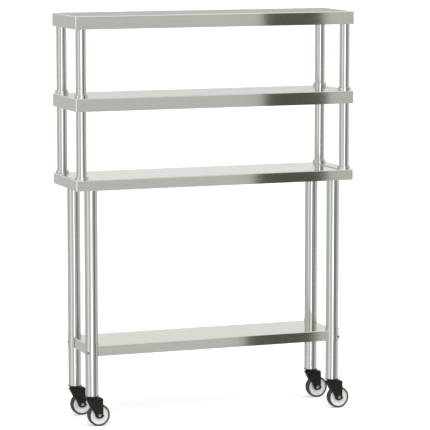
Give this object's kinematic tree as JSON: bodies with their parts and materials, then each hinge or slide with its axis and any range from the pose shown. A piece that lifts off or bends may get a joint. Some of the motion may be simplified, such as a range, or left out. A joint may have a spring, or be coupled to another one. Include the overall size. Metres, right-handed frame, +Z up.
{
  "type": "kitchen island cart",
  "caption": "Narrow stainless steel island cart on swivel castors: a folded-edge worktop on round legs over a lower shelf, with an open tiered overshelf standing on slim posts.",
  "frame": {"origin": "on the floor, under the middle of the cart", "axes": "+X to the right along the shelves, -Y to the front, +Z up"},
  "size_m": [1.2, 0.32, 1.665],
  "materials": {
    "sheet_steel": "brushed",
    "tube_steel": "polished",
    "collar_steel": "satin",
    "fastener_steel": "polished",
    "black_plastic": "matte",
    "black_paint": "satin",
    "rim_plastic": "satin",
    "tyre_rubber": "matte",
    "bush_brass": "plain"
  },
  "bodies": {
    "frame": {"table_top": "sheet_steel", "lower_shelf": "sheet_steel", "middle_shelf": "sheet_steel", "top_shelf": "sheet_steel", "table_channel": "sheet_steel", "lower_channel": "sheet_steel", "middle_channel": "sheet_steel", "top_channel": "sheet_steel", "leg_fl": "tube_steel", "leg_fr": "tube_steel", "leg_bl": "tube_steel", "leg_br": "tube_steel", "leg_socket_fl": "sheet_steel", "leg_socket_fr": "sheet_steel", "leg_socket_bl": "sheet_steel", "leg_socket_br": "sheet_steel", "socket_screws": "fastener_steel", "shelf_sleeve_fl": "collar_steel", "shelf_sleeve_fr": "collar_steel", "shelf_sleeve_bl": "collar_steel", "shelf_sleeve_br": "collar_steel", "sleeve_screws": "fastener_steel", "foot_bar_left": "sheet_steel", "foot_bar_right": "sheet_steel", "lower_post_fl": "tube_steel", "lower_post_fr": "tube_steel", "lower_post_bl": "tube_steel", "lower_post_br": "tube_steel", "upper_post_fl": "tube_steel", "upper_post_fr": "tube_steel", "upper_post_bl": "tube_steel", "upper_post_br": "tube_steel", "foot_collars": "collar_steel", "tier_collars": "collar_steel", "post_sockets": "sheet_steel", "post_plugs": "black_plastic", "foot_bolts": "fastener_steel", "tier_studs": "fastener_steel", "leg_plugs": "black_plastic", "castor_stems": "black_paint"},
    "castor_fl": {"fork_fl": "black_paint", "axle_fl": "fastener_steel"},
    "wheel_fl": {"rim_fl": "rim_plastic", "tyre_fl": "tyre_rubber", "bush_fl": "bush_brass"},
    "castor_fr": {"fork_fr": "black_paint", "axle_fr": "fastener_steel"},
    "wheel_fr": {"rim_fr": "rim_plastic", "tyre_fr": "tyre_rubber", "bush_fr": "bush_brass"},
    "castor_bl": {"fork_bl": "black_paint", "axle_bl": "fastener_steel"},
    "wheel_bl": {"rim_bl": "rim_plastic", "tyre_bl": "tyre_rubber", "bush_bl": "bush_brass"},
    "castor_br": {"fork_br": "black_paint", "axle_br": "fastener_steel"},
    "wheel_br": {"rim_br": "rim_plastic", "tyre_br": "tyre_rubber", "bush_br": "bush_brass"}
  },
  "joints": [
    {"name": "castor_fl_swivel", "type": "hinge", "parent": "frame", "child": "castor_fl", "pos_m": [-0.5275, -0.117, 0.115], "axis": [0, 0, 1], "continuous": true},
    {"name": "wheel_fl_roll", "type": "hinge", "parent": "castor_fl", "child": "wheel_fl", "pos_m": [-0.5002, -0.117, 0.045], "axis": [0, 1, 0], "continuous": true},
    {"name": "castor_fr_swivel", "type": "hinge", "parent": "frame", "child": "castor_fr", "pos_m": [0.5275, -0.117, 0.115], "axis": [0, 0, 1], "continuous": true},
    {"name": "wheel_fr_roll", "type": "hinge", "parent": "castor_fr", "child": "wheel_fr", "pos_m": [0.5548, -0.117, 0.045], "axis": [0, 1, 0], "continuous": true},
    {"name": "castor_bl_swivel", "type": "hinge", "parent": "frame", "child": "castor_bl", "pos_m": [-0.5275, 0.117, 0.115], "axis": [0, 0, 1], "continuous": true},
    {"name": "wheel_bl_roll", "type": "hinge", "parent": "castor_bl", "child": "wheel_bl", "pos_m": [-0.5002, 0.117, 0.045], "axis": [0, 1, 0], "continuous": true},
    {"name": "castor_br_swivel", "type": "hinge", "parent": "frame", "child": "castor_br", "pos_m": [0.5275, 0.117, 0.115], "axis": [0, 0, 1], "continuous": true},
    {"name": "wheel_br_roll", "type": "hinge", "parent": "castor_br", "child": "wheel_br", "pos_m": [0.5548, 0.117, 0.045], "axis": [0, 1, 0], "continuous": true}
  ]
}
